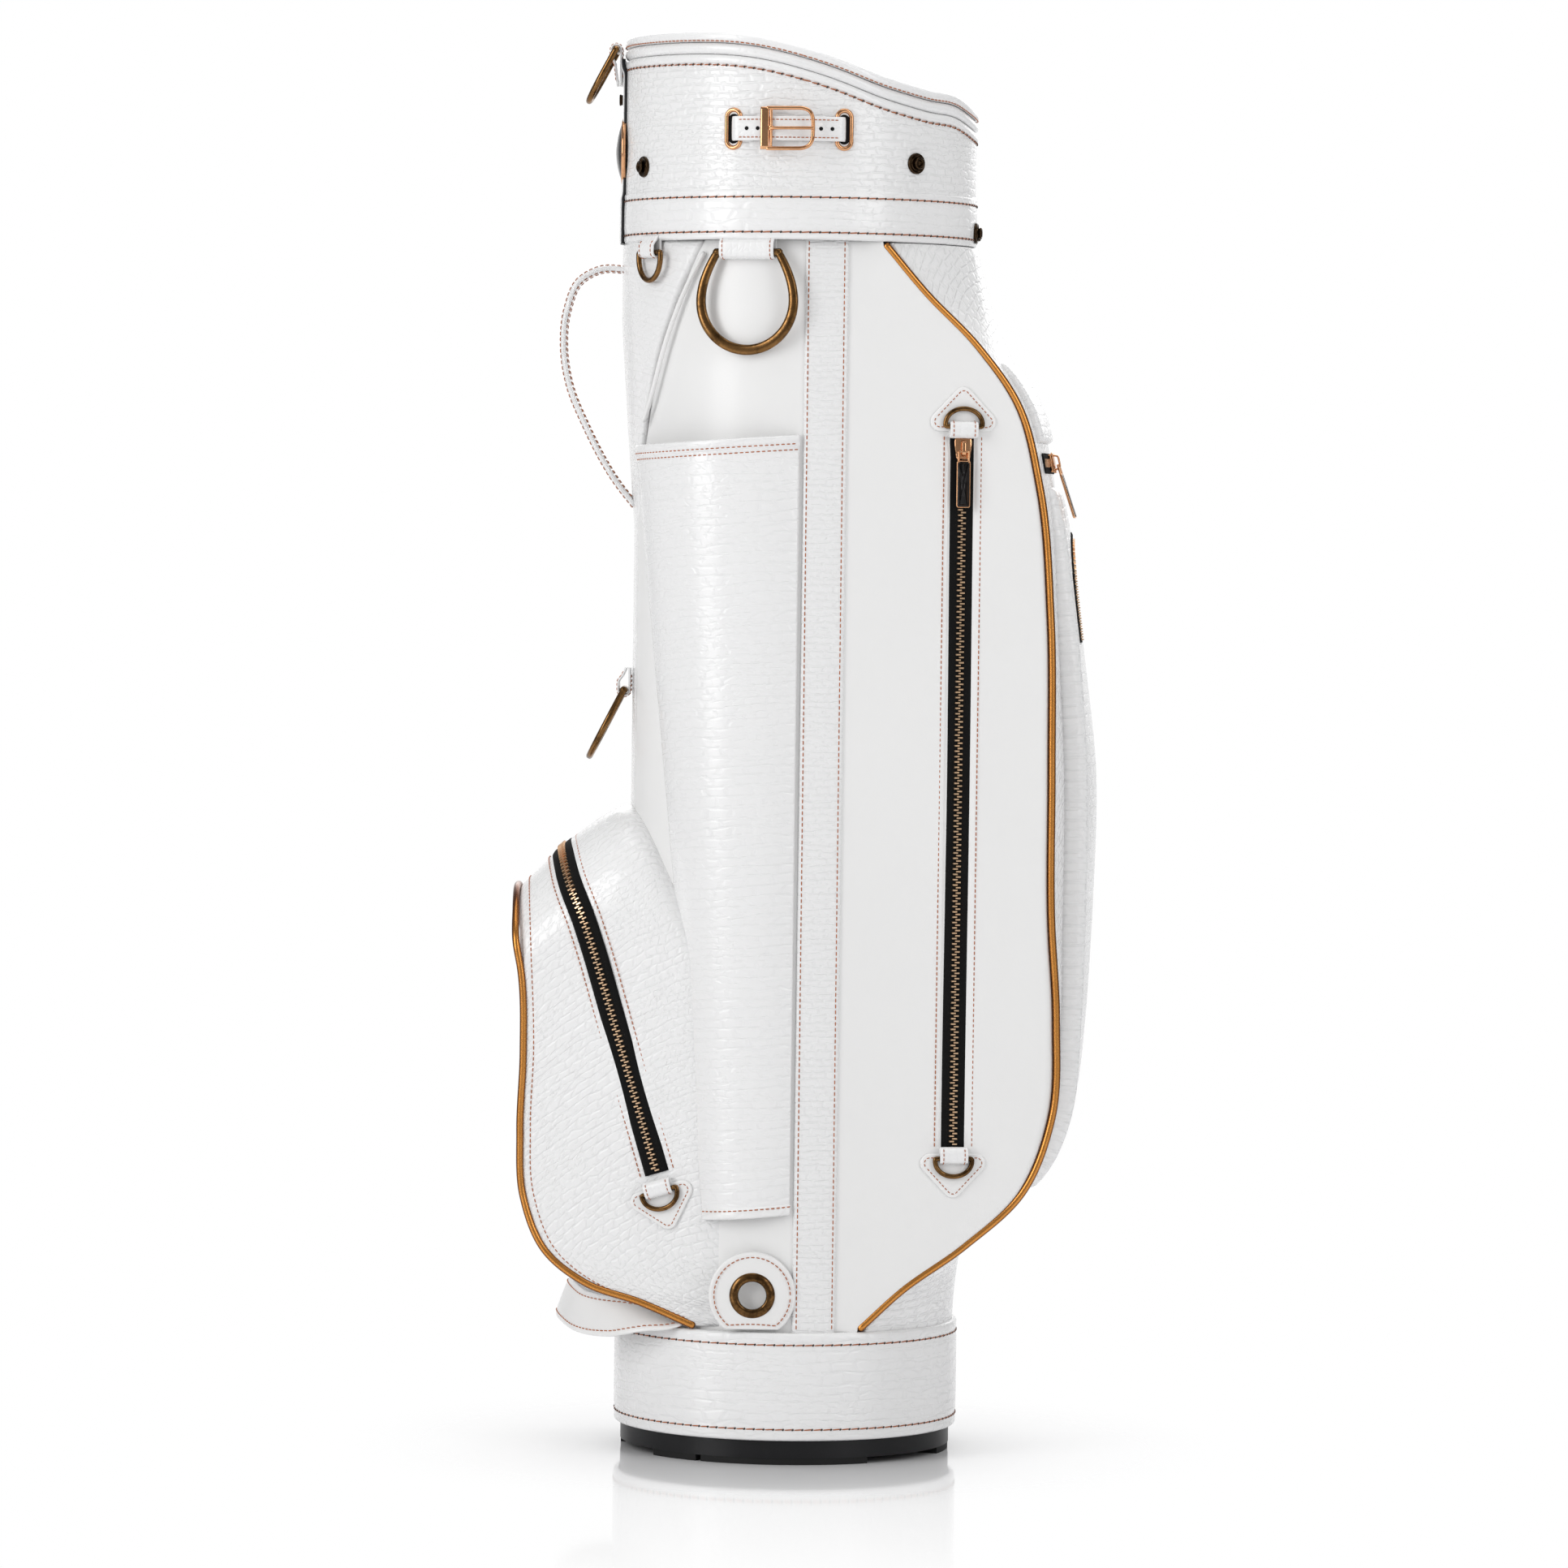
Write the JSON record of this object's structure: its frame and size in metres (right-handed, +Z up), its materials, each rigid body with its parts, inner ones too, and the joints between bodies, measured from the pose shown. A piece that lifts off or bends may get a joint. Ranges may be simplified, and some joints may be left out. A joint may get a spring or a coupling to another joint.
{
  "type": "golf staff bag",
  "caption": "Upright round golf bag in white crocodile leather with a wave-topped cuff, apparel and ball pockets, zips, an umbrella sleeve, rings and a carry handle.",
  "frame": {"origin": "where the tube's axis meets the floor", "axes": "+Z up along the tube; +X towards the apparel pocket, opposite the spine; -Y towards the side with the umbrella sleeve"},
  "size_m": [0.3643, 0.2341, 0.8812],
  "materials": {
    "croc_leather": "glossy white with a raised crocodile pattern",
    "smooth_leather": "smooth white, satin",
    "bronze_piping": "metallic bronze, semi-gloss",
    "antique_brass": "antiqued, worn bright at the edges",
    "rose_gold": "polished",
    "zip_tape": "woven tape with gold metal teeth",
    "black_plastic": "satin moulded",
    "black_rubber": "matt",
    "liner_board": "stiff lined sheet",
    "black_fabric": "brushed lining",
    "steel": "plain"
  },
  "bodies": {
    "bag": {"apparel_front": "croc_leather", "apparel_piping": "bronze_piping", "apparel_sides": "smooth_leather", "apparel_tabs": "croc_leather", "apparel_zips": "zip_tape", "badge": "black_plastic", "ball_front": "croc_leather", "ball_gusset": "croc_leather", "ball_piping": "bronze_piping", "ball_tabs": "croc_leather", "ball_zip": "zip_tape", "base_band": "croc_leather", "base_cup": "black_plastic", "bottom_handle": "croc_leather", "buckle_strap": "croc_leather", "carry_handle": "croc_leather", "cuff_belt": "croc_leather", "cuff_cover": "croc_leather", "cuff_frame": "liner_board", "cuff_lining": "black_fabric", "divider_sheets": "black_fabric", "divider_top": "black_plastic", "front_pouch": "croc_leather", "front_yoke": "croc_leather", "front_zips": "zip_tape", "liner_tube": "liner_board", "rim_binding": "croc_leather", "ring_loops": "croc_leather", "rubber_feet": "black_rubber", "side_strips": "croc_leather", "slot_eyelets": "rose_gold", "snap_studs": "antique_brass", "spine_panel": "croc_leather", "spine_welts": "croc_leather", "stay_rods": "steel", "umbrella_eyelet": "antique_brass", "umbrella_sleeve": "croc_leather", "umbrella_tab": "croc_leather", "valley_panels": "smooth_leather"},
    "towel_ring": {"towel_ring": "antique_brass"},
    "small_ring": {"small_ring": "antique_brass"},
    "strap_ring_top": {"strap_ring_top": "antique_brass"},
    "strap_ring_low": {"strap_ring_low": "antique_brass"},
    "tab_ring_high_near": {"tab_ring_high_near": "antique_brass"},
    "tab_ring_low_near": {"tab_ring_low_near": "antique_brass"},
    "apparel_slider_near": {"apparel_slider_near": "rose_gold"},
    "apparel_pull_near": {"apparel_pull_near": "rose_gold"},
    "ball_ring_near": {"ball_ring_near": "antique_brass"},
    "tab_ring_high_far": {"tab_ring_high_far": "antique_brass"},
    "tab_ring_low_far": {"tab_ring_low_far": "antique_brass"},
    "apparel_slider_far": {"apparel_slider_far": "rose_gold"},
    "apparel_pull_far": {"apparel_pull_far": "rose_gold"},
    "ball_ring_far": {"ball_ring_far": "antique_brass"},
    "front_slider": {"front_slider": "rose_gold"},
    "front_pull": {"front_pull": "rose_gold"},
    "ball_slider": {"ball_slider": "rose_gold"},
    "ball_pull": {"ball_pull": "rose_gold"},
    "buckle_frame": {"buckle_frame": "rose_gold"},
    "buckle_prong": {"buckle_prong": "rose_gold"}
  },
  "joints": [
    {"name": "towel_ring_swing", "type": "hinge", "parent": "bag", "child": "towel_ring", "pos_m": [-0.03188, -0.10109, 0.7452], "axis": [-0.9537, 0.3007, 0], "range_deg": [0, 90]},
    {"name": "small_ring_swing", "type": "hinge", "parent": "bag", "child": "small_ring", "pos_m": [-0.09279, -0.06165, 0.7458], "axis": [-0.5534, 0.8329, 0], "range_deg": [0, 90]},
    {"name": "strap_ring_top_swing", "type": "hinge", "parent": "bag", "child": "strap_ring_top", "pos_m": [-0.1162, 0, 0.874], "axis": [0, 1, 0], "range_deg": [-27, 120]},
    {"name": "strap_ring_low_swing", "type": "hinge", "parent": "bag", "child": "strap_ring_low", "pos_m": [-0.1066, 0, 0.474], "axis": [0, 1, 0], "range_deg": [-26, 115]},
    {"name": "tab_ring_high_near_swing", "type": "hinge", "parent": "bag", "child": "tab_ring_high_near", "pos_m": [0.10224, -0.09184, 0.6405], "axis": [0.9917, 0.1288, 0], "range_deg": [0, 90]},
    {"name": "tab_ring_low_near_swing", "type": "hinge", "parent": "bag", "child": "tab_ring_low_near", "pos_m": [0.10224, -0.09184, 0.1895], "axis": [-0.9917, -0.1288, 0], "range_deg": [0, 90]},
    {"name": "apparel_zip_near_slide", "type": "slide", "parent": "bag", "child": "apparel_slider_near", "axis": [0, 0, -1], "range_m": [0, 0.393]},
    {"name": "apparel_pull_near_swing", "type": "hinge", "parent": "apparel_slider_near", "child": "apparel_pull_near", "pos_m": [0.10222, -0.09169, 0.6251], "axis": [-0.9917, -0.1288, 0], "range_deg": [0, 120]},
    {"name": "ball_ring_near_swing", "type": "hinge", "parent": "bag", "child": "ball_ring_near", "pos_m": [-0.07942, -0.08666, 0.1665], "axis": [-0.9274, 0.2312, -0.294], "range_deg": [0, 90]},
    {"name": "tab_ring_high_far_swing", "type": "hinge", "parent": "bag", "child": "tab_ring_high_far", "pos_m": [0.10224, 0.09184, 0.6405], "axis": [-0.9917, 0.1288, 0], "range_deg": [0, 90]},
    {"name": "tab_ring_low_far_swing", "type": "hinge", "parent": "bag", "child": "tab_ring_low_far", "pos_m": [0.10224, 0.09184, 0.1895], "axis": [0.9917, -0.1288, 0], "range_deg": [0, 90]},
    {"name": "apparel_zip_far_slide", "type": "slide", "parent": "bag", "child": "apparel_slider_far", "axis": [0, 0, -1], "range_m": [0, 0.393]},
    {"name": "apparel_pull_far_swing", "type": "hinge", "parent": "apparel_slider_far", "child": "apparel_pull_far", "pos_m": [0.10222, 0.09169, 0.6251], "axis": [0.9917, -0.1288, 0], "range_deg": [0, 120]},
    {"name": "ball_ring_far_swing", "type": "hinge", "parent": "bag", "child": "ball_ring_far", "pos_m": [-0.07942, 0.08666, 0.1665], "axis": [0.9274, 0.2312, 0.294], "range_deg": [0, 90]},
    {"name": "front_zip_slide", "type": "hinge", "parent": "bag", "child": "front_slider", "pos_m": [-0.09009, 0, 0.619], "axis": [0, 0, 1], "range_deg": [0, 19.2]},
    {"name": "front_pull_swing", "type": "hinge", "parent": "front_slider", "child": "front_pull", "pos_m": [0.16159, -0.04257, 0.61778], "axis": [-0.1668, -0.986, 0], "range_deg": [0, 100]},
    {"name": "ball_zip_slide", "type": "slide", "parent": "bag", "child": "ball_slider", "axis": [-0.2852, -0.0711, 0.9558], "range_m": [0, 0.085]},
    {"name": "ball_pull_swing", "type": "hinge", "parent": "ball_slider", "child": "ball_pull", "pos_m": [-0.09235, 0.08535, 0.21435], "axis": [0.9274, 0.2312, 0.294], "range_deg": [0, 120]},
    {"name": "buckle_frame_swing", "type": "hinge", "parent": "bag", "child": "buckle_frame", "pos_m": [-0.0245, -0.11328, 0.8205], "axis": [0, 0, -1], "range_deg": [0, 30]},
    {"name": "buckle_prong_swing", "type": "hinge", "parent": "buckle_frame", "child": "buckle_prong", "pos_m": [-0.01862, -0.11492, 0.8205], "axis": [0, 0, -1], "range_deg": [0, 60]}
  ]
}
